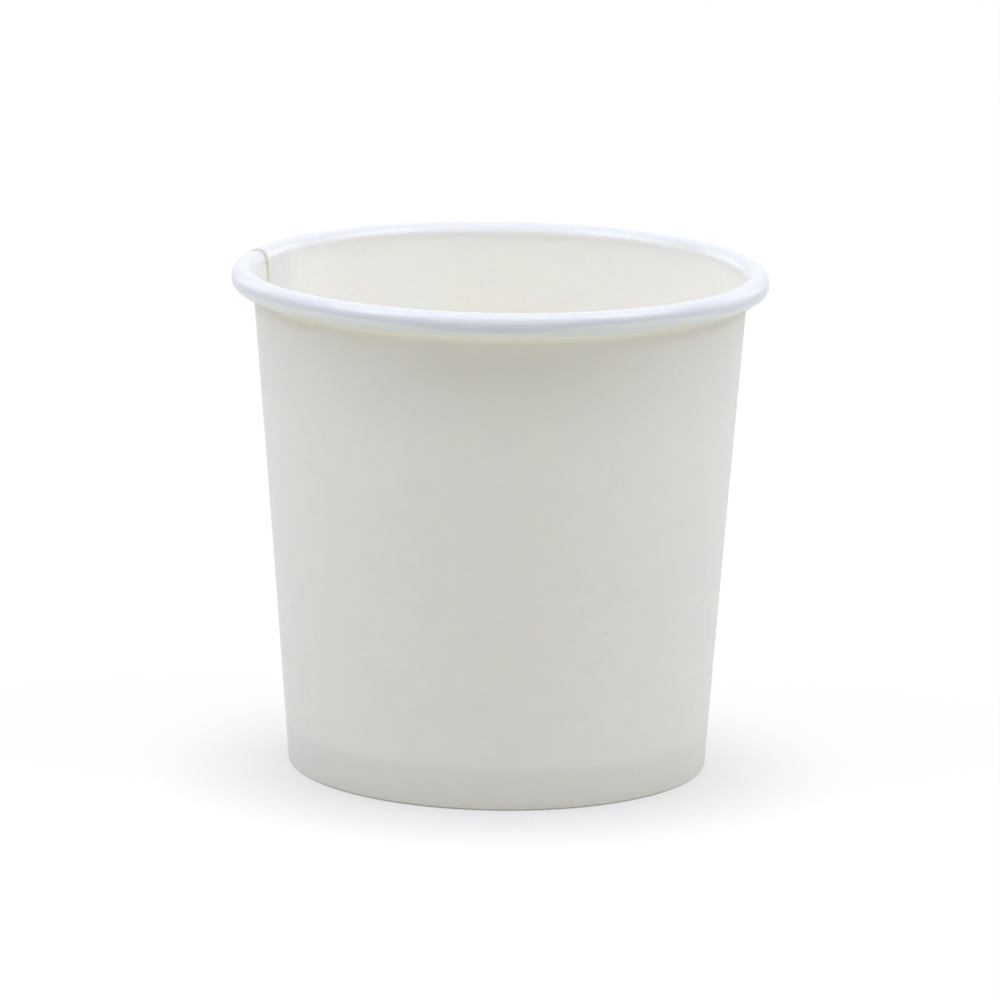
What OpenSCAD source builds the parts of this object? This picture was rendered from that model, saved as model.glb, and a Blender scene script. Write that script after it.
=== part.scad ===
// Paper portion cup: a tapered board cup with a rolled rim, a lapped side seam and a recessed base.
// It is made of two pieces of board, the sidewall blank and the base disc.
// The centre of the base is at the origin, and the axis is +Z.

/* [Cup] */
// outer diameter of the rolled rim
rim_d = 62; // [58:0.5:75]
// overall height, from the fold that the cup stands on to the top of the rim
cup_h = 58.7; // [40:0.1:75]
// outer diameter of the wall at its bottom edge
base_d = 48.8; // [44:0.1:52]

/* [Board] */
// thickness of the coated board of the sidewall
wall_t = 0.3; // [0.2:0.01:0.38]
// thickness of the coated board of the base disc
disc_t = 0.3; // [0.2:0.01:0.4]

/* [Rolled rim] */
// width across the roll, seen from above
curl_w = 2.6; // [2.5:0.05:3.4]
// how far the board goes on rolling inside its first full turn, in degrees
tuck_angle = 50; // [10:1:80]

/* [Base] */
// height of the hem, the wall's bottom edge turned in and up behind the skirt
hem_h = 4.4; // [3:0.1:8]
// height of the disc's underside over the hem's cut edge
disc_rise = 0.4; // [0.2:0.05:2]
// inside radius of the disc's turned-down edge
disc_bend_r = 0.3; // [0.1:0.05:0.6]

/* [Side seam] */
// direction of the lap's cut edge inside the cup, in degrees counter-clockwise from +X
seam_angle = 159.4; // [30:0.1:340]
// width of the overlap of the blank's two sealed ends, in degrees about the axis
lap_angle = 12; // [6:0.5:24]
// width of the strip beside the cut edge where the covered end steps in, in degrees about the axis
step_angle = 3.2; // [1.6:0.4:6.4]

/* [Hidden] */
// segments of a full turn about the cup's axis, and of a full circle in the board's section
ring_fn = 72;
arc_fn = 24;
// clearance between the wall and the layer of the roll that is tucked in beside it
curl_gap = 0.04;
// inside radius of the two bends of the bottom fold
fold_r = 0.05;
// gap between the skirt's cut edge and the doubled board of the fold
skirt_gap = 0.05;
// number of small steps in which the covered end moves in by one thickness
step_count = 4;

base_r = base_d / 2;
curl_r = curl_w / 2;
// inner radius of the rim, and the middle of the roll
mouth_r = rim_d / 2 - curl_w;
curl_x = mouth_r + curl_r;
curl_z = cup_h - curl_r;

// the wall's outer face runs straight from base_r to the side of the roll
slope = (mouth_r + wall_t - base_r) / curl_z;
taper = atan(slope);

// angles in the section, where 0 points outwards and 90 up
wall_side = 360 - taper;
hem_side = 180 - taper;
down = 270;
up = 90;

disc_z = hem_h + disc_rise;
skirt_z = 2 * wall_t + skirt_gap;

// what is drawn: every piece, or one of them

// point at height z on the face that lies d outside the wall's coated inner face
function on_face(d, z) = [base_r - wall_t + slope * z + d / cos(taper), z];

// points of an arc about a centre, from one angle to another
function arc(centre, r, from, to) =
    let (count = ceil(abs(to - from) * arc_fn / 360))
    [for (i = [0:count]) let (a = from + (to - from) * i / count) centre + r * [cos(a), sin(a)]];

// half of a ring of board about the origin of the section: the upper half, or the lower one
module half_ring(r, board, side) {
    intersection() {
        difference() {
            circle(r = r, $fn = arc_fn);
            circle(r = r - board, $fn = arc_fn);
        }
        translate([-2 * r, side == up ? 0 : -2 * r])
            square([4 * r, 2 * r]);
    }
}

// the last part of the roll, inside the first turn, as far as the board's cut edge
module tucked_end(r, board) {
    far = 2 * r;
    intersection() {
        half_ring(r, board, up);
        polygon([[0, 0], [-far, 0], [-far, far * tan(tuck_angle / 2)], far * [-cos(tuck_angle), sin(tuck_angle)]]);
    }
}

// section of the rolled rim, for board whose faces lie d1 and d2 outside the coated face
module roll_section(d1, d2, tucked) {
    board = d2 - d1;
    // each half turn moves inwards, so that the second turn clears the wall
    nest = d2 + curl_gap;
    translate([curl_x, curl_z]) {
        half_ring(curl_r - d1, board, up);
        translate([nest / 2, 0])
            half_ring(curl_r - d1 - nest / 2, board, down);
        if (tucked)
            tucked_end(curl_r - d1 - nest, board);
    }
}

// section of the cone, the bottom fold and the hem that stands behind the skirt
module wall_section(d1, d2) {
    outer_r = fold_r + d2 - d1;
    inset = [fold_r / cos(taper), 0];
    wall_bend = on_face(d1, outer_r) - inset;
    hem_bend = on_face(-disc_t - d1, outer_r) + inset;
    polygon(concat(
        [on_face(-disc_t - d2, hem_h)],
        arc(hem_bend, outer_r, hem_side, down),
        arc(wall_bend, outer_r, down, wall_side),
        [[mouth_r + d2, curl_z], [mouth_r + d1, curl_z]],
        arc(wall_bend, fold_r, wall_side, down),
        arc(hem_bend, fold_r, down, hem_side),
        [on_face(-disc_t - d1, hem_h)]
    ));
}

// part of the sidewall between two directions about the axis
module wall_sector(from, width, d1, d2, tucked) {
    rotate_extrude(start = from, angle = width, $fn = ring_fn) {
        roll_section(d1, d2, tucked);
        wall_section(d1, d2);
    }
}

// one blank of board: cone, rolled rim, hem and side seam
module sidewall() {
    single_start = seam_angle + step_angle;
    step = step_angle / step_count;
    color([0.93, 0.92, 0.88]) {
        wall_sector(single_start, 360 - lap_angle - step_angle, 0, wall_t, true);
        wall_sector(seam_angle - lap_angle, lap_angle, 0, 2 * wall_t, false);
        for (i = [0:step_count - 1]) {
            covered = wall_t * (1 - (i + 0.5) / step_count);
            wall_sector(seam_angle + i * step, step, covered, covered + wall_t, false);
        }
    }
}

// disc of board that closes the cup, its turned-down skirt held between wall and hem
module base_disc() {
    outer_r = disc_bend_r + disc_t;
    inset = [disc_bend_r / cos(taper), 0];
    disc_bend = on_face(-disc_t, disc_z - disc_bend_r) - inset;
    color([0.95, 0.94, 0.91])
        rotate_extrude($fn = ring_fn)
            polygon(concat(
                [[0, disc_z]],
                arc(disc_bend, disc_bend_r, up, -taper),
                [on_face(-disc_t, skirt_z), on_face(0, skirt_z)],
                arc(disc_bend, outer_r, -taper, up),
                [[0, disc_z + disc_t]]
            ));
}

sidewall();
base_disc();
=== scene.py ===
"""A paper portion cup of coated board, dressed and lit as in a plain white studio."""

from __future__ import annotations

import logging
import math
from dataclasses import dataclass, field
from enum import Enum

import bmesh
import bpy
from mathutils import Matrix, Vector

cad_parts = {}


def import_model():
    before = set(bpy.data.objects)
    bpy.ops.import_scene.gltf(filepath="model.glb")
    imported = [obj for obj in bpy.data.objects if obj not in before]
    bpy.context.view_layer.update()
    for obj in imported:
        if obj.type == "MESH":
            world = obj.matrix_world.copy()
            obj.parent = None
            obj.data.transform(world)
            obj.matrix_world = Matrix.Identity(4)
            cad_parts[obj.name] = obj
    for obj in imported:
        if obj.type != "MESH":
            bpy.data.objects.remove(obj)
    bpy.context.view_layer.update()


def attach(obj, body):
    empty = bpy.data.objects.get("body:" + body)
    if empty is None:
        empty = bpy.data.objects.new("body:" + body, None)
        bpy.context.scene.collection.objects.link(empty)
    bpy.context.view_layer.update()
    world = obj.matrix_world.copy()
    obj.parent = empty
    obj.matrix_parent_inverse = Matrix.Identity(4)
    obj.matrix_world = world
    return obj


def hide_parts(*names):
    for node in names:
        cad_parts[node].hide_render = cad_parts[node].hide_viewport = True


LOG = logging.getLogger("portion_cup")
MM = 0.001
SAME_PLANE_DEGREES = 0.05
Point = tuple[float, float]
# the pulp scatters light within the board, red a little further than blue, and lets some through
THROUGH_BOARD = {
    "Subsurface Weight": 1.0,
    "Subsurface Radius": (1.0, 0.85, 0.65),
    "Subsurface Scale": 0.4 * MM,
}


class Side(Enum):
    """The material slots of a sheet of cup board."""

    COATED = 0
    BARE = 1
    CUT = 2


def linear(hex_colour: str) -> tuple[float, float, float, float]:
    """Turns an sRGB hex colour to linear light.

    Args:
        hex_colour: Six hex digits, such as "F2F0EA".

    Returns:
        Red, green, blue and an alpha of 1.
    """
    parts = [int(hex_colour[i : i + 2], 16) / 255 for i in (0, 2, 4)]
    red, green, blue = (p / 12.92 if p <= 0.04045 else ((p + 0.055) / 1.055) ** 2.4 for p in parts)
    return red, green, blue, 1.0


def add_node(tree: bpy.types.NodeTree, kind: str, settings: dict, links: dict) -> bpy.types.Node:
    """Adds a node with its settings and links.

    Args:
        tree: The node tree that gets the node.
        kind: Blender's name for the kind of node.
        settings: Values by attribute name, or by input number or name where there is no such attribute.
        links: Output sockets by the input that they feed.

    Returns:
        The new node.
    """
    node = tree.nodes.new(kind)
    for name, value in settings.items():
        if isinstance(name, str) and hasattr(node, name):
            setattr(node, name, value)
        else:
            node.inputs[name].default_value = value
    for name, socket in links.items():
        tree.links.new(socket, node.inputs[name])
    return node


def new_material(name: str) -> bpy.types.Material:
    """Makes an empty node material.

    Args:
        name: The finish's plain name.

    Returns:
        A material whose tree holds nothing yet.
    """
    material = bpy.data.materials.new(name)
    material.use_nodes = True
    material.node_tree.nodes.clear()
    return material


def deselect_all() -> None:
    """Leaves edit mode and deselects every object."""
    if bpy.context.object and bpy.context.object.mode != "OBJECT":
        bpy.ops.object.mode_set(mode="OBJECT")
    bpy.ops.object.select_all(action="DESELECT")


def azimuth_of(place: Vector) -> float:
    """Gives a place's direction about the cup's axis.

    Args:
        place: Any point, in any unit.

    Returns:
        The direction in degrees, from 0 to 360.
    """
    return math.degrees(math.atan2(place.y, place.x)) % 360


def draw_chain(path: list[Point], azimuth: float) -> None:
    """Draws a section line in the mesh that is being edited, by extruding one vertex along it.

    Args:
        path: Radius and height of each point, in millimetres.
        azimuth: Direction of the section's half plane about the axis, in degrees.
    """
    turn = math.radians(azimuth)
    places = [Vector((r * math.cos(turn), r * math.sin(turn), z)) * MM for r, z in path]
    bpy.ops.mesh.select_all(action="DESELECT")
    bpy.ops.mesh.primitive_plane_add(size=MM, location=places[0])
    bpy.ops.mesh.merge(type="CENTER")
    for start, end in zip(places, places[1:]):
        bpy.ops.mesh.extrude_vertices_move(TRANSFORM_OT_translate={"value": end - start})


def select_section(azimuth: float, extend: bool = False) -> int:
    """Selects the vertices and edges that lie in one half plane through the axis.

    Args:
        azimuth: Direction of the half plane, in degrees.
        extend: Keep what is selected already.

    Returns:
        How many vertices lie there.
    """
    mesh = bmesh.from_edit_mesh(bpy.context.object.data)
    if not extend:
        bpy.ops.mesh.select_all(action="DESELECT")
    found = 0
    for vertex in mesh.verts:
        off = (azimuth_of(vertex.co) - azimuth + 180) % 360 - 180
        if abs(off) < SAME_PLANE_DEGREES:
            vertex.select = True
            found += 1
    mesh.select_flush(True)
    bmesh.update_edit_mesh(bpy.context.object.data)
    return found


def select_below(height: float) -> None:
    """Selects only the vertices that lie below a height.

    Args:
        height: The height, in millimetres.
    """
    bpy.ops.mesh.select_all(action="DESELECT")
    mesh = bmesh.from_edit_mesh(bpy.context.object.data)
    for vertex in mesh.verts:
        vertex.select = vertex.co.z < height * MM
    mesh.select_flush(True)
    bmesh.update_edit_mesh(bpy.context.object.data)


def arc(centre: Point, radius: float, start: float, end: float, count: int) -> list[Point]:
    """Gives points of an arc in the section.

    Args:
        centre: Radius and height of the arc's centre, in millimetres.
        radius: The arc's own radius, in millimetres.
        start: First angle in degrees, where 0 points away from the axis and 90 up.
        end: Last angle in degrees.
        count: How many steps to take.

    Returns:
        The points, with both ends.
    """
    turns = [math.radians(start + (end - start) * i / count) for i in range(count + 1)]
    return [(centre[0] + radius * math.cos(t), centre[1] + radius * math.sin(t)) for t in turns]


@dataclass(frozen=True)
class CupSizes:
    """The cup's sizes in millimetres: the solids' own, and then the real cup's small departures from them.

    The departures are where the cut edge stands round the axis, how much deeper (sag) and further out (bulge,
    spread) the lower half of the roll hangs, how far the wall draws in at half height, and how far the foot
    stands to one side. tuck, lap, step, lift, lift_run and seam are in degrees.
    """

    rim_d: float = 62.0
    height: float = 58.7
    base_d: float = 48.8
    board: float = 0.3
    curl_w: float = 2.6
    tuck: float = 50.0
    curl_gap: float = 0.04
    hem_h: float = 4.4
    disc_rise: float = 0.4
    disc_bend: float = 0.3
    fold: float = 0.05
    lap: float = 12.0
    step: float = 3.6
    lift: float = 0.5
    lift_run: float = 1.5
    film_gap: float = 0.01
    seam: float = 162.8
    sag: float = 0.2
    bulge: float = 0.2
    spread: float = 0.08
    waist: float = 0.07
    lean: float = 0.44
    wall_rows: int = 28
    roll_steps: tuple[int, int, int] = (22, 20, 5)
    fold_steps: int = 4
    disc_rings: int = 12
    bend_steps: int = 8

    @property
    def curl_r(self) -> float:
        """Radius of the roll's outer turn."""
        return self.curl_w / 2

    @property
    def mouth_r(self) -> float:
        """Inner radius of the rim."""
        return self.rim_d / 2 - self.curl_w

    @property
    def curl_z(self) -> float:
        """Height of the roll's middle."""
        return self.height - self.curl_r

    @property
    def slope(self) -> float:
        """How far the wall leans out for each millimetre of height."""
        return (self.mouth_r + self.board - self.base_d / 2) / self.curl_z

    @property
    def taper(self) -> float:
        """The wall's angle from the vertical, in degrees."""
        return math.degrees(math.atan(self.slope))

    def on_face(self, offset: float, z: float) -> Point:
        """Gives a point of the face that lies outside the wall's coated face.

        Args:
            offset: Distance from the coated face, outwards.
            z: Height of the point.

        Returns:
            The point's radius and height.
        """
        tilt = math.cos(math.radians(self.taper))
        return self.base_d / 2 - self.board + self.slope * z + offset / tilt, z

    def board_path(self, covered: float, doubled: bool) -> list[Point]:
        """Gives the line of the board's coated side, from the hem's cut edge to the end of the roll.

        Args:
            covered: How far the sheet lies outside the coated face of the wall.
            doubled: True where the board lies on its own other end.

        Returns:
            Radius and height of each point, in millimetres.
        """
        inset = self.fold / math.cos(math.radians(self.taper))
        lift = self.board if doubled and covered == 0 else 0.0
        bend_z = self.fold + self.board + lift
        hem_bend = (self.on_face(-self.board - covered, bend_z)[0] + inset, bend_z)
        wall_bend = (self.on_face(covered, bend_z)[0] - inset, bend_z)
        hem_rows = [self.on_face(-self.board - covered, z) for z in (self.hem_h, self.hem_h / 2)]
        rows = [bend_z + (self.curl_z - bend_z) * i / self.wall_rows for i in range(1, self.wall_rows)]
        wall = [self.on_face(covered - self.waist_at(z), z) for z in rows]
        nest = self.board * (2 if doubled else 1) + self.curl_gap
        curl_x = self.mouth_r + self.curl_r
        outer = self.curl_r - covered
        over, under, tucked = self.roll_steps
        roll = arc((curl_x, self.curl_z), outer, 180, 0, over)
        roll += arc((curl_x + nest / 2, self.curl_z), outer - nest / 2, 0, -180, under)[1:]
        roll += arc((curl_x, self.curl_z), outer - nest, 180, 180 - self.tuck, tucked)[1:]
        roll = [self.on_slack_roll(point) for point in roll]
        fold = arc(hem_bend, self.fold, 180 - self.taper, 270, self.fold_steps)
        fold += arc(wall_bend, self.fold, 270, 360 - self.taper, self.fold_steps)
        return hem_rows + fold + wall + roll

    def on_slack_roll(self, point: Point) -> Point:
        """Moves a point of the round roll to the real one, whose lower half hangs deeper and further out.

        Args:
            point: Radius and height on the round roll.

        Returns:
            The point's radius and height on the slack roll.
        """
        r, z = point
        below = max(0.0, self.curl_z - z)
        outwards = (r - self.mouth_r) / self.curl_w
        return r + (self.spread + self.bulge * below) * outwards, z - self.sag * below

    def waist_at(self, z: float) -> float:
        """Gives how far the wall draws in between its stiff rim and its stiff hem, at a height."""
        return self.waist * math.sin(math.pi * min(max(z / self.curl_z, 0.0), 1.0))

    def disc_path(self) -> list[Point]:
        """Gives the line of the base disc's coated side, from its middle to the skirt's cut edge."""
        top = self.hem_h + self.disc_rise + self.board
        bend_r = self.disc_bend + self.board
        bend_z = top - bend_r
        bend_x = self.on_face(0, bend_z)[0] - bend_r / math.cos(math.radians(self.taper))
        flat = [(bend_x * i / self.disc_rings, top) for i in range(self.disc_rings)]
        skirt = [self.on_face(0, z) for z in (bend_z / 2, 2 * self.board + self.fold)]
        return flat + arc((bend_x, bend_z), bend_r, 90, -self.taper, self.bend_steps) + skirt


@dataclass(frozen=True)
class BareBoard:
    """Uncoated bleached paperboard, calendered: matt, with the faint cloud of its pulp and a few dark fibres.

    Fields that end in _mm are in millimetres. The zones are pairs of heights between which a tone fades.
    """

    colour: str = "EBEAE3"
    cloud: str = "E5E4DE"
    speck: str = "B9AF9C"
    # painted shade of the hem band, where three layers of board let less light through
    hem_painted_shade: str = "EAE6DB"
    # painted shadow on the wall below the roll
    under_rim_painted_shadow: str = "E3E3DC"
    # painted light in a ring on the wall right under the roll
    painted_light_ring: str = "FBF8EA"
    # painted contact shadow: a thin brown line along the foot
    fold: str = "A8977A"
    roughness: float = 0.5
    cloud_mm: float = 2.6
    fibre_mm: float = 0.18
    speck_every_mm: float = 5.5
    speck_edge: Point = (0.012, 0.026)
    hem_shade_zone_mm: Point = (3.9, 5.3)
    rim_shadow_zone_mm: Point = (40.0, 51.0)
    rim_shadow_end_mm: Point = (51.5, 54.5)
    painted_light_zone_mm: Point = (54.6, 55.9)
    contact_shadow_zone_mm: Point = (0.06, 0.2)
    contact_shadow_share: float = 0.8
    speck_share: float = 0.8
    grain_mm: float = 0.012

    def material(self) -> bpy.types.Material:
        """Builds the finish on the piece's own coordinates.

        Returns:
            The material of the cup's outside.
        """
        material = new_material("uncoated_cup_board")
        tree = material.node_tree
        place = add_node(tree, "ShaderNodeTexCoord", {}, {}).outputs["Object"]
        cloud = add_node(
            tree,
            "ShaderNodeTexNoise",
            {"Scale": 1 / (self.cloud_mm * MM), "Detail": 3.0, "Roughness": 0.55},
            {"Vector": place},
        )
        tone = add_node(
            tree,
            "ShaderNodeMix",
            {"data_type": "RGBA", 6: linear(self.colour), 7: linear(self.cloud)},
            {"Factor": cloud.outputs["Fac"]},
        )
        height = add_node(tree, "ShaderNodeSeparateXYZ", {}, {"Vector": place})
        # painted shade: over the skirt and the hem, where three layers of board let less light through, the
        # board is painted a little darker and creamier, with a soft edge
        hem = add_node(
            tree,
            "ShaderNodeMapRange",
            {
                "interpolation_type": "SMOOTHSTEP",
                1: self.hem_shade_zone_mm[0] * MM,
                2: self.hem_shade_zone_mm[1] * MM,
                3: 1.0,
                4: 0.0,
            },
            {"Value": height.outputs["Z"]},
        )
        hem_shaded = add_node(
            tree,
            "ShaderNodeMix",
            {"data_type": "RGBA", 7: linear(self.hem_painted_shade)},
            {"Factor": hem.outputs["Result"], 6: tone.outputs[2]},
        )
        # painted shadow: a soft band below the roll is painted darker and warmer, where the roll's overhang
        # shades the wall
        rising = add_node(
            tree,
            "ShaderNodeMapRange",
            {
                "interpolation_type": "SMOOTHSTEP",
                1: self.rim_shadow_zone_mm[0] * MM,
                2: self.rim_shadow_zone_mm[1] * MM,
            },
            {"Value": height.outputs["Z"]},
        )
        ending = add_node(
            tree,
            "ShaderNodeMapRange",
            {
                "interpolation_type": "SMOOTHSTEP",
                1: self.rim_shadow_end_mm[0] * MM,
                2: self.rim_shadow_end_mm[1] * MM,
                3: 1.0,
                4: 0.0,
            },
            {"Value": height.outputs["Z"]},
        )
        rim_shadow_band = add_node(
            tree,
            "ShaderNodeMath",
            {"operation": "MULTIPLY"},
            {0: rising.outputs["Result"], 1: ending.outputs["Result"]},
        )
        rim_shadowed = add_node(
            tree,
            "ShaderNodeMix",
            {"data_type": "RGBA", 7: linear(self.under_rim_painted_shadow)},
            {"Factor": rim_shadow_band.outputs["Value"], 6: hem_shaded.outputs[2]},
        )
        # painted light: a paler ring right under the roll; and painted contact shadow: a thin brown line
        # where the fold stands on the ground
        painted_light_ring = add_node(
            tree,
            "ShaderNodeMapRange",
            {
                "interpolation_type": "SMOOTHSTEP",
                1: self.painted_light_zone_mm[0] * MM,
                2: self.painted_light_zone_mm[1] * MM,
            },
            {"Value": height.outputs["Z"]},
        )
        painted_light_ringed = add_node(
            tree,
            "ShaderNodeMix",
            {"data_type": "RGBA", 7: linear(self.painted_light_ring)},
            {"Factor": painted_light_ring.outputs["Result"], 6: rim_shadowed.outputs[2]},
        )
        # painted contact shadow along the lowest fraction of a millimetre of the foot
        contact_shadow_mask = add_node(
            tree,
            "ShaderNodeMapRange",
            {
                "interpolation_type": "SMOOTHSTEP",
                1: self.contact_shadow_zone_mm[0] * MM,
                2: self.contact_shadow_zone_mm[1] * MM,
                3: self.contact_shadow_share,
                4: 0.0,
            },
            {"Value": height.outputs["Z"]},
        )
        contact_shadowed = add_node(
            tree,
            "ShaderNodeMix",
            {"data_type": "RGBA", 7: linear(self.fold)},
            {"Factor": contact_shadow_mask.outputs["Result"], 6: painted_light_ringed.outputs[2]},
        )
        # a few dark fibres, drawn a little larger than they are so that they show
        specks = add_node(
            tree,
            "ShaderNodeTexVoronoi",
            {"Scale": 1 / (self.speck_every_mm * MM)},
            {"Vector": place},
        )
        small = add_node(
            tree,
            "ShaderNodeMapRange",
            {1: self.speck_edge[0], 2: self.speck_edge[1], 3: self.speck_share, 4: 0.0},
            {"Value": specks.outputs["Distance"]},
        )
        spotted = add_node(
            tree,
            "ShaderNodeMix",
            {"data_type": "RGBA", 7: linear(self.speck)},
            {"Factor": small.outputs["Result"], 6: contact_shadowed.outputs[2]},
        )
        fibre = add_node(
            tree,
            "ShaderNodeTexNoise",
            {"Scale": 1 / (self.fibre_mm * MM), "Detail": 2.0, "Roughness": 0.6},
            {"Vector": place},
        )
        bump = add_node(
            tree,
            "ShaderNodeBump",
            {"Strength": 0.25, "Distance": self.grain_mm * MM},
            {"Height": fibre.outputs["Fac"]},
        )
        shader = add_node(
            tree,
            "ShaderNodeBsdfPrincipled",
            {"Roughness": self.roughness, "IOR": 1.45, **THROUGH_BOARD},
            {"Base Color": spotted.outputs[2], "Normal": bump.outputs["Normal"]},
        )
        add_node(tree, "ShaderNodeOutputMaterial", {}, {"Surface": shader.outputs["BSDF"]})
        return material


@dataclass(frozen=True)
class CoatedBoard:
    """Paperboard with an extruded polyethylene film: smooth and half glossy, with a slight orange peel.

    Fields that end in _mm are in millimetres. The roll's flats lean its normals: flats_share is how strongly,
    and flats_tilt how much of that comes back every flats_mm.
    """

    colour: str = "FAF6F0"
    cloud: str = "F6F2EC"
    stretched: str = "DFE0E2"
    # painted light on the roll's underside, which faces the floor
    underside_painted_light: str = "FFFEEB"
    roughness: float = 0.28
    peel_mm: float = 0.9
    peel_depth_mm: float = 0.01
    roll_zone_mm: Point = (28.38, 28.8)
    underside_light_mm: float = 56.7
    underside_light_soft_mm: float = 0.35
    wave_mm: float = 12.0
    uneven_mm: float = 0.9
    flats_mm: float = 34.0
    flats_tilt: float = 0.1
    flats_share: float = 0.4
    sway_mm: float = 0.25

    def material(self) -> bpy.types.Material:
        """Builds the finish on the piece's own coordinates.

        Returns:
            The material of the cup's inside and of its rolled rim.
        """
        material = new_material("coated_cup_board")
        tree = material.node_tree
        place = add_node(tree, "ShaderNodeTexCoord", {}, {}).outputs["Object"]
        peel = add_node(
            tree,
            "ShaderNodeTexNoise",
            {"Scale": 1 / (self.peel_mm * MM), "Detail": 2.0, "Roughness": 0.5},
            {"Vector": place},
        )
        tone = add_node(
            tree,
            "ShaderNodeMix",
            {"data_type": "RGBA", 6: linear(self.colour), 7: linear(self.cloud)},
            {"Factor": peel.outputs["Fac"]},
        )
        flat = add_node(
            tree,
            "ShaderNodeVectorMath",
            {"operation": "MULTIPLY", 1: (1.0, 1.0, 0.0)},
            {0: place},
        )
        radius = add_node(tree, "ShaderNodeVectorMath", {"operation": "LENGTH"}, {0: flat.outputs["Vector"]})
        # over the roll the film is stretched, and looks cooler than in the cup
        rolled = add_node(
            tree,
            "ShaderNodeMapRange",
            {
                "interpolation_type": "SMOOTHSTEP",
                1: self.roll_zone_mm[0] * MM,
                2: self.roll_zone_mm[1] * MM,
            },
            {"Value": radius.outputs["Value"]},
        )
        drawn = add_node(
            tree,
            "ShaderNodeMix",
            {"data_type": "RGBA", 7: linear(self.stretched)},
            {"Factor": rolled.outputs["Result"], 6: tone.outputs[2]},
        )
        height = add_node(tree, "ShaderNodeSeparateXYZ", {}, {"Vector": place})
        wave = add_node(
            tree,
            "ShaderNodeTexNoise",
            {"Scale": 1 / (self.wave_mm * MM), "Detail": 1.0},
            {"Vector": place},
        )
        # the roll has slight flats round the rim, which move its highlight and the border of its painted
        # underside light
        turn = add_node(
            tree,
            "ShaderNodeMath",
            {"operation": "MULTIPLY_ADD", 1: math.tau / (self.flats_mm * MM), 2: math.pi / 2},
            {0: height.outputs["X"]},
        )
        sway = add_node(tree, "ShaderNodeMath", {"operation": "SINE"}, {0: turn.outputs["Value"]})
        swayed = add_node(
            tree,
            "ShaderNodeMath",
            {"operation": "MULTIPLY_ADD", 1: self.sway_mm * MM},
            {0: sway.outputs["Value"], 2: height.outputs["Z"]},
        )
        wavy = add_node(
            tree,
            "ShaderNodeMath",
            {"operation": "MULTIPLY_ADD", 1: self.uneven_mm * MM},
            {0: wave.outputs["Fac"], 2: swayed.outputs["Value"]},
        )
        # painted light: the lower part of the roll, which faces the bright floor, is painted paler, with a
        # wavy border
        border = self.underside_light_mm + self.uneven_mm / 2 + self.sway_mm
        lower = add_node(
            tree,
            "ShaderNodeMapRange",
            {
                "interpolation_type": "SMOOTHSTEP",
                1: (border - self.underside_light_soft_mm) * MM,
                2: (border + self.underside_light_soft_mm) * MM,
                3: 1.0,
                4: 0.0,
            },
            {"Value": wavy.outputs["Value"]},
        )
        under = add_node(
            tree,
            "ShaderNodeMath",
            {"operation": "MULTIPLY"},
            {0: lower.outputs["Result"], 1: rolled.outputs["Result"]},
        )
        underside_lit = add_node(
            tree,
            "ShaderNodeMix",
            {"data_type": "RGBA", 7: linear(self.underside_painted_light)},
            {"Factor": under.outputs["Value"], 6: drawn.outputs[2]},
        )
        bump = add_node(
            tree,
            "ShaderNodeBump",
            {"Strength": 0.15, "Distance": self.peel_depth_mm * MM},
            {"Height": peel.outputs["Fac"]},
        )
        swaying = add_node(
            tree,
            "ShaderNodeMath",
            {"operation": "MULTIPLY_ADD", 1: self.flats_tilt},
            {0: sway.outputs["Value"], 2: wave.outputs["Fac"]},
        )
        centred = add_node(
            tree,
            "ShaderNodeMath",
            {"operation": "SUBTRACT", 1: 0.5 + self.flats_tilt},
            {0: swaying.outputs["Value"]},
        )
        tilt = add_node(
            tree,
            "ShaderNodeMath",
            {"operation": "MULTIPLY"},
            {0: centred.outputs["Value"], 1: rolled.outputs["Result"]},
        )
        slight = add_node(
            tree,
            "ShaderNodeMath",
            {"operation": "MULTIPLY", 1: self.flats_share},
            {0: tilt.outputs["Value"]},
        )
        upwards = add_node(tree, "ShaderNodeCombineXYZ", {}, {"Z": slight.outputs["Value"]})
        leant = add_node(
            tree,
            "ShaderNodeVectorMath",
            {"operation": "ADD"},
            {0: bump.outputs["Normal"], 1: upwards.outputs["Vector"]},
        )
        normal = add_node(
            tree,
            "ShaderNodeVectorMath",
            {"operation": "NORMALIZE"},
            {0: leant.outputs["Vector"]},
        )
        shader = add_node(
            tree,
            "ShaderNodeBsdfPrincipled",
            {"Roughness": self.roughness, "IOR": 1.5, **THROUGH_BOARD},
            {"Base Color": underside_lit.outputs[2], "Normal": normal.outputs["Vector"]},
        )
        add_node(tree, "ShaderNodeOutputMaterial", {}, {"Surface": shader.outputs["BSDF"]})
        return material


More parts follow.
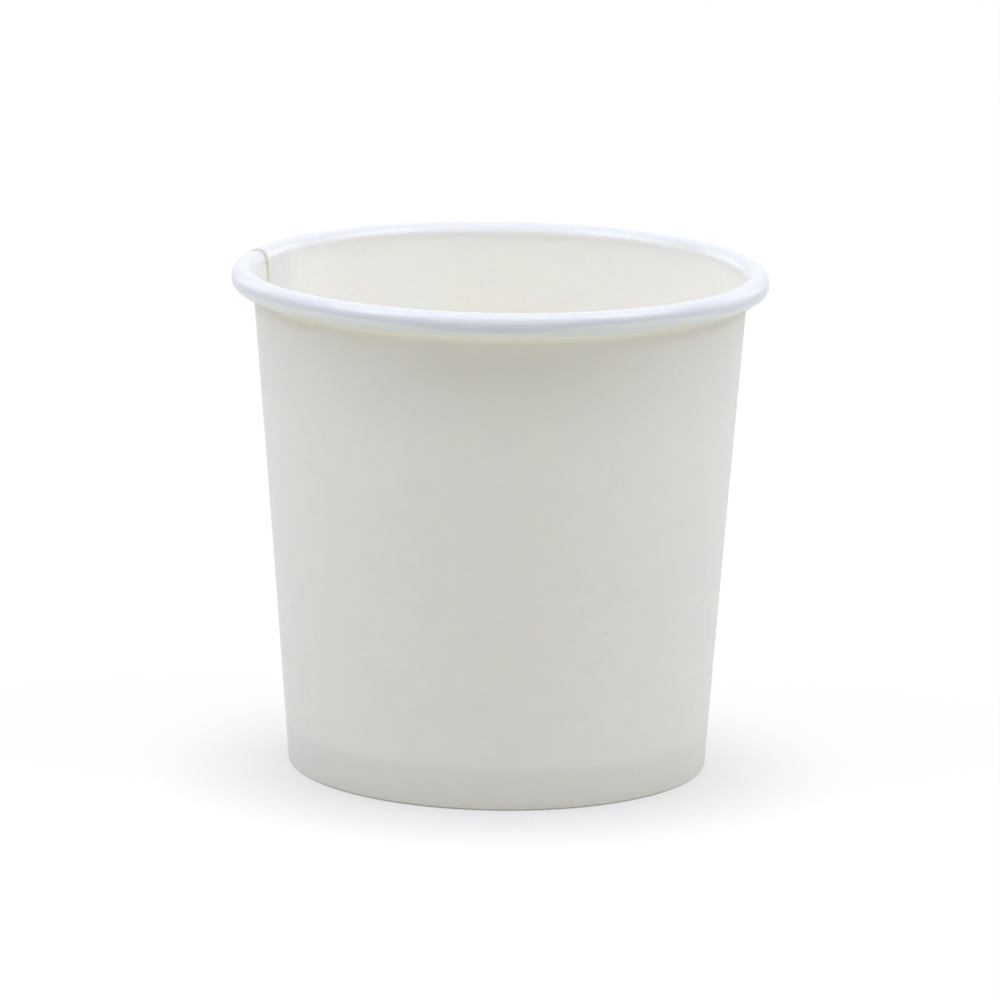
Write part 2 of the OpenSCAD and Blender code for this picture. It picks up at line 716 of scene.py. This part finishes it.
@dataclass(frozen=True)
class CutFibre:
    """The die-cut edge of the board: torn pulp, rough, painted nearly white, paler than its cream, as painted
    light against the shade it stands in, with the film drawn over it on the roll.

    Fields that end in _mm are in millimetres.
    """

    # painted light: the edge is painted paler than its cream pulp to lift the shade it stands in
    colour: str = "FFFEF0"
    dark: str = "FEF7DA"
    filmed: str = "EDEAE4"
    fibre_mm: float = 0.12
    roll_zone_mm: Point = (57.4, 58.3)

    def material(self) -> bpy.types.Material:
        """Builds the finish on the piece's own coordinates.

        Returns:
            The material of the board's narrow edges.
        """
        material = new_material("cut_board_edge")
        tree = material.node_tree
        place = add_node(tree, "ShaderNodeTexCoord", {}, {}).outputs["Object"]
        fibre = add_node(
            tree,
            "ShaderNodeTexNoise",
            {"Scale": 1 / (self.fibre_mm * MM), "Detail": 2.0, "Roughness": 0.6},
            {"Vector": place},
        )
        tone = add_node(
            tree,
            "ShaderNodeMix",
            {"data_type": "RGBA", 6: linear(self.colour), 7: linear(self.dark)},
            {"Factor": fibre.outputs["Fac"]},
        )
        height = add_node(tree, "ShaderNodeSeparateXYZ", {}, {"Vector": place})
        rolled = add_node(
            tree,
            "ShaderNodeMapRange",
            {
                "interpolation_type": "SMOOTHSTEP",
                1: self.roll_zone_mm[0] * MM,
                2: self.roll_zone_mm[1] * MM,
            },
            {"Value": height.outputs["Z"]},
        )
        filmed = add_node(
            tree,
            "ShaderNodeMix",
            {"data_type": "RGBA", 7: linear(self.filmed)},
            {"Factor": rolled.outputs["Result"], 6: tone.outputs[2]},
        )
        shader = add_node(
            tree,
            "ShaderNodeBsdfPrincipled",
            {"Roughness": 0.9, "IOR": 1.45},
            {"Base Color": filmed.outputs[2]},
        )
        add_node(tree, "ShaderNodeOutputMaterial", {}, {"Surface": shader.outputs["BSDF"]})
        return material


@dataclass
class BoardSheet:
    """A sheet of cup board: a line of its coated side, spun about the axis and given its thickness."""

    sizes: CupSizes
    finishes: list[bpy.types.Material]
    name: str = "sheet"
    weld_mm: float = 0.0005
    smooth_degrees: float = 40.0

    def start(self) -> None:
        """Makes the empty mesh that the section lines are drawn in, and edits it."""
        deselect_all()
        bpy.ops.mesh.primitive_plane_add(size=MM)
        piece = bpy.context.object
        piece.name = self.name
        bpy.ops.object.mode_set(mode="EDIT")
        bpy.ops.mesh.delete(type="VERT")
        bpy.ops.mesh.select_mode(type="VERT")

    def spin(self, degrees: float, steps: int) -> None:
        """Spins the selected line counter-clockwise about the cup's axis.

        Args:
            degrees: How far it goes round.
            steps: In how many steps.
        """
        bpy.ops.mesh.spin(
            steps=steps, angle=math.radians(degrees), center=(0, 0, 0), axis=(0, 0, -1), use_auto_merge=False
        )

    def finish(self, coated_inwards: bool, test_height: float) -> bpy.types.Object:
        """Turns the sheet's coated side out, thickens it behind that side, and gives it its materials.

        Args:
            coated_inwards: True if the coated side faces the axis, and false if it faces up.
            test_height: Height near which a face tells the side, in millimetres.

        Returns:
            The finished piece.
        """
        bpy.ops.mesh.select_all(action="SELECT")
        bpy.ops.mesh.remove_doubles(threshold=self.weld_mm * MM)
        bpy.ops.mesh.normals_make_consistent(inside=False)
        bpy.ops.object.mode_set(mode="OBJECT")
        piece = bpy.context.object
        face = min(piece.data.polygons, key=lambda f: abs(f.center.z - test_height * MM))
        outwards = face.normal.x * face.center.x + face.normal.y * face.center.y
        wrong = outwards > 0 if coated_inwards else face.normal.z < 0
        if wrong:
            bpy.ops.object.mode_set(mode="EDIT")
            bpy.ops.mesh.flip_normals()
            bpy.ops.object.mode_set(mode="OBJECT")
        for finish in self.finishes:
            piece.data.materials.append(finish)
        wall = piece.modifiers.new("board", "SOLIDIFY")
        wall.thickness = self.sizes.board * MM
        wall.offset = -1.0
        wall.use_even_offset = True
        wall.material_offset = Side.BARE.value
        wall.material_offset_rim = Side.CUT.value
        bpy.ops.object.modifier_apply(modifier=wall.name)
        bpy.ops.object.shade_smooth_by_angle(angle=math.radians(self.smooth_degrees))
        return piece


@dataclass
class Sidewall(BoardSheet):
    """The sidewall blank: cone, rolled rim, hem and lapped side seam, in one continuous sheet."""

    name: str = "sidewall_board"
    degrees_per_step: float = 1.25
    bridge_cuts: int = 3

    def steps(self, degrees: float) -> int:
        """Gives how many steps a spin takes."""
        return max(1, round(degrees / self.degrees_per_step))

    def build(self) -> bpy.types.Object:
        """Spins the blank from its covered end round to the cut edge inside the cup.

        Returns:
            The sidewall, riding on the cup's body in place of the solid.
        """
        cup = self.sizes
        lap_start = cup.seam - cup.lap
        single_start = cup.seam + cup.step
        lift_start = lap_start - cup.lift
        lift_from = lift_start - cup.lift_run
        self.start()
        draw_chain(cup.board_path(cup.board + cup.film_gap, True), lap_start)
        select_section(lap_start)
        self.spin(cup.lap, self.steps(cup.lap))
        self.join(single_start, cup.board_path(0, False), cup.seam)
        around = lift_from + 360 - single_start
        self.spin(around, self.steps(around))
        self.join(lift_start, cup.board_path(0, True), lift_from)
        self.spin(cup.seam - lift_start, self.steps(cup.seam - lift_start))
        self.set_askew()
        piece = self.finish(True, cup.height / 2)
        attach(piece, "root")
        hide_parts("sidewall")
        return piece

    def set_askew(self) -> None:
        """Moves each row of the wall a little further sideways than the one above it, as the real cup is."""
        cup = self.sizes
        for row in range(cup.wall_rows):
            select_below(cup.curl_z * (1 - (row + 0.5) / cup.wall_rows))
            bpy.ops.transform.translate(value=(cup.lean / cup.wall_rows * MM, 0, 0))

    def join(self, azimuth: float, path: list[Point], last: float) -> None:
        """Draws a new section line, bridges the sheet's last line to it, and leaves it selected.

        Args:
            azimuth: Direction of the new line.
            path: The new line's points.
            last: Direction of the line that the sheet ends in now.
        """
        draw_chain(path, azimuth)
        select_section(azimuth)
        select_section(last, extend=True)
        bpy.ops.mesh.bridge_edge_loops(number_cuts=self.bridge_cuts, interpolation="LINEAR")
        select_section(azimuth)


@dataclass
class BaseDisc(BoardSheet):
    """The base: a flat disc whose edge is turned down as a skirt between wall and hem."""

    name: str = "base_disc_board"
    round_steps: int = 180

    def build(self) -> bpy.types.Object:
        """Spins the disc's line round once.

        Returns:
            The base disc, riding on the cup's body in place of the solid.
        """
        self.start()
        draw_chain(self.sizes.disc_path(), 0)
        bpy.ops.mesh.select_all(action="SELECT")
        self.spin(360, self.round_steps)
        bpy.ops.mesh.select_all(action="SELECT")
        shift = self.sizes.lean * (1 - self.sizes.hem_h / self.sizes.height)
        bpy.ops.transform.translate(value=(shift * MM, 0, 0))
        piece = self.finish(False, self.sizes.hem_h + 1)
        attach(piece, "root")
        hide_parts("base_disc")
        return piece


@dataclass(frozen=True)
class Softbox:
    """A square soft light that hangs some way round and above the cup, and is aimed at it.

    Its angles are in degrees, its size, distance and aim in metres, and its power in watts.
    """

    name: str
    elevation: float
    azimuth: float
    size: float
    power: float
    colour: str = "FFFFFF"
    distance: float = 2.0
    aim_z: float = 0.03

    @property
    def place(self) -> Vector:
        """Where the light hangs, in metres."""
        up, turn = math.radians(self.elevation), math.radians(self.azimuth)
        level = self.distance * math.cos(up)
        height = self.distance * math.sin(up) + self.aim_z
        return Vector((level * math.cos(turn), level * math.sin(turn), height))

    def build(self) -> bpy.types.Object:
        """Adds the light.

        Returns:
            The lamp, aimed at the cup.
        """
        bpy.ops.object.light_add(type="AREA", location=self.place)
        lamp = bpy.context.object
        lamp.name = self.name
        lamp.data.shape = "SQUARE"
        lamp.data.size = self.size
        lamp.data.energy = self.power
        lamp.data.color = linear(self.colour)[:3]
        aim = Vector((0, 0, self.aim_z)) - self.place
        lamp.rotation_euler = aim.to_track_quat("-Z", "Y").to_euler()
        return lamp


@dataclass
class Studio:
    """A seamless white floor, softboxes above, at both sides and behind, and a pale surround.

    The contact fields shape the shadow where the cup stands: how far it reaches, how dark it gets and in how
    many samples it is looked up. shadow_lean is how much of it falls to the front.
    """

    lamps: list[Softbox] = field(
        default_factory=lambda: [
            Softbox("top_softbox", 80, 270, 1.2, 8.1, "FFF6E5"),
            Softbox("left_softbox", 50, 198, 1.2, 20.8, "DEE9FF"),
            Softbox("right_softbox", 50, 342, 1.2, 20.6, "E1EBFF"),
            Softbox("back_left_softbox", 18, 135, 1.0, 3.9, "EEF6FF"),
            Softbox("back_right_softbox", 18, 42, 1.0, 4.4, "F3F8FF"),
        ]
    )
    bounce_colour: str = "CBCBCB"
    seen_colour: str = "F4F4F4"
    seen_white: float = 0.88
    contact_mm: float = 18.0
    contact_dark: float = 0.42
    contact_samples: int = 3
    shadow_lean: float = 0.5
    floor_size: float = 12.0
    ambient: float = 0.43
    ambient_colour: str = "FFFBF5"

    def build(self) -> None:
        """Lays the floor, hangs the lamps and sets the surround."""
        deselect_all()
        bpy.ops.mesh.primitive_plane_add(size=self.floor_size)
        floor = bpy.context.object
        floor.name = "studio_floor"
        floor.data.materials.append(self.paper())
        for lamp in self.lamps:
            lamp.build()
        self.surround()

    def paper(self) -> bpy.types.Material:
        """Builds the floor's matt paper, seen as white but for the object's shadow.

        Returns:
            The paper's material.
        """
        material = new_material("background_paper")
        tree = material.node_tree
        rays = self.seen_rays(tree)
        # the set is lit from above and a little from behind, so the contact shadow leans to the front
        lean = add_node(tree, "ShaderNodeCombineXYZ", {"Y": self.shadow_lean, "Z": 1.0}, {})
        near = add_node(
            tree,
            "ShaderNodeAmbientOcclusion",
            {"samples": self.contact_samples, "Distance": self.contact_mm * MM},
            {"Normal": lean.outputs["Vector"]},
        )
        tone = add_node(
            tree,
            "ShaderNodeMapRange",
            {3: 1.0 - self.contact_dark, 4: 1.0},
            {"Value": near.outputs["AO"]},
        )
        white = add_node(tree, "ShaderNodeEmission", {}, {"Strength": tone.outputs["Result"]})
        colour = add_node(
            tree,
            "ShaderNodeMix",
            {"data_type": "RGBA", 6: linear(self.bounce_colour), 7: linear(self.seen_colour)},
            {"Factor": rays},
        )
        paper = add_node(tree, "ShaderNodeBsdfDiffuse", {}, {"Color": colour.outputs[2]})
        seen = add_node(
            tree,
            "ShaderNodeMath",
            {"operation": "MULTIPLY", 1: self.seen_white},
            {0: rays},
        )
        mixed = add_node(
            tree,
            "ShaderNodeMixShader",
            {},
            {0: seen.outputs["Value"], 1: paper.outputs["BSDF"], 2: white.outputs["Emission"]},
        )
        add_node(tree, "ShaderNodeOutputMaterial", {}, {"Surface": mixed.outputs["Shader"]})
        return material

    def seen_rays(self, tree: bpy.types.NodeTree) -> bpy.types.NodeSocket:
        """Adds a switch that is 1 for the rays that show the surroundings: seen, mirrored or through glass.

        Args:
            tree: The node tree that gets the switch.

        Returns:
            The switch's output.
        """
        rays = add_node(tree, "ShaderNodeLightPath", {}, {})
        gloss = add_node(
            tree,
            "ShaderNodeMath",
            {"operation": "MAXIMUM"},
            {0: rays.outputs["Is Glossy Ray"], 1: rays.outputs["Is Transmission Ray"]},
        )
        seen = add_node(
            tree,
            "ShaderNodeMath",
            {"operation": "MAXIMUM"},
            {0: rays.outputs["Is Camera Ray"], 1: gloss.outputs["Value"]},
        )
        return seen.outputs["Value"]

    def surround(self) -> None:
        """Sets a world that lights weakly and is seen as white."""
        world = bpy.data.worlds.new("studio_surround")
        bpy.context.scene.world = world
        world.use_nodes = True
        tree = world.node_tree
        tree.nodes.clear()
        rays = self.seen_rays(tree)
        strength = add_node(tree, "ShaderNodeMapRange", {3: self.ambient, 4: 1.0}, {"Value": rays})
        tint = add_node(
            tree,
            "ShaderNodeMix",
            {"data_type": "RGBA", 6: linear(self.ambient_colour), 7: linear("FFFFFF")},
            {"Factor": rays},
        )
        light = add_node(
            tree,
            "ShaderNodeBackground",
            {},
            {"Color": tint.outputs[2], "Strength": strength.outputs["Result"]},
        )
        add_node(tree, "ShaderNodeOutputWorld", {}, {"Surface": light.outputs["Background"]})


@dataclass(frozen=True)
class PhotoCamera:
    """The photograph's camera: a long lens that looks down on the cup at a low angle.

    Its angles are in degrees, its distance, aim and clips in metres.
    """

    elevation: float = 12.17
    distance: float = 0.8
    focal_px: float = 6868.0
    roll: float = 0.93
    aim: tuple[float, float, float] = (0.00036, 0.0, 0.031)
    frame_px: float = 1000.0
    sensor_mm: float = 36.0
    clips: Point = (0.01, 20.0)

    def build(self) -> None:
        """Places the camera and makes it the scene's own."""
        turn = math.radians(self.elevation)
        back = Vector((0, -math.cos(turn), math.sin(turn)))
        bpy.ops.object.camera_add(location=Vector(self.aim) + back * self.distance)
        camera = bpy.context.object
        camera.name = "photo_camera"
        look = (-back).to_track_quat("-Z", "Y").to_matrix().to_4x4()
        camera.rotation_euler = look.to_euler()
        camera.rotation_euler.rotate_axis("Z", math.radians(self.roll))
        camera.data.sensor_width = self.sensor_mm
        camera.data.lens = self.focal_px / self.frame_px * self.sensor_mm
        camera.data.clip_start, camera.data.clip_end = self.clips
        bpy.context.scene.camera = camera


def main() -> None:
    """Loads the frame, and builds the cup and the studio."""
    logging.basicConfig(level=logging.INFO, format="%(name)s: %(message)s")
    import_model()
    bpy.context.scene.view_settings.view_transform = "Standard"
    PhotoCamera().build()
    sizes = CupSizes()
    sheet = [CoatedBoard().material(), BareBoard().material(), CutFibre().material()]
    for part in (Sidewall(sizes, sheet), BaseDisc(sizes, sheet)):
        piece = part.build()
        LOG.info("%s: %d faces", piece.name, len(piece.data.polygons))
    Studio().build()


if __name__ == "__main__":
    main()
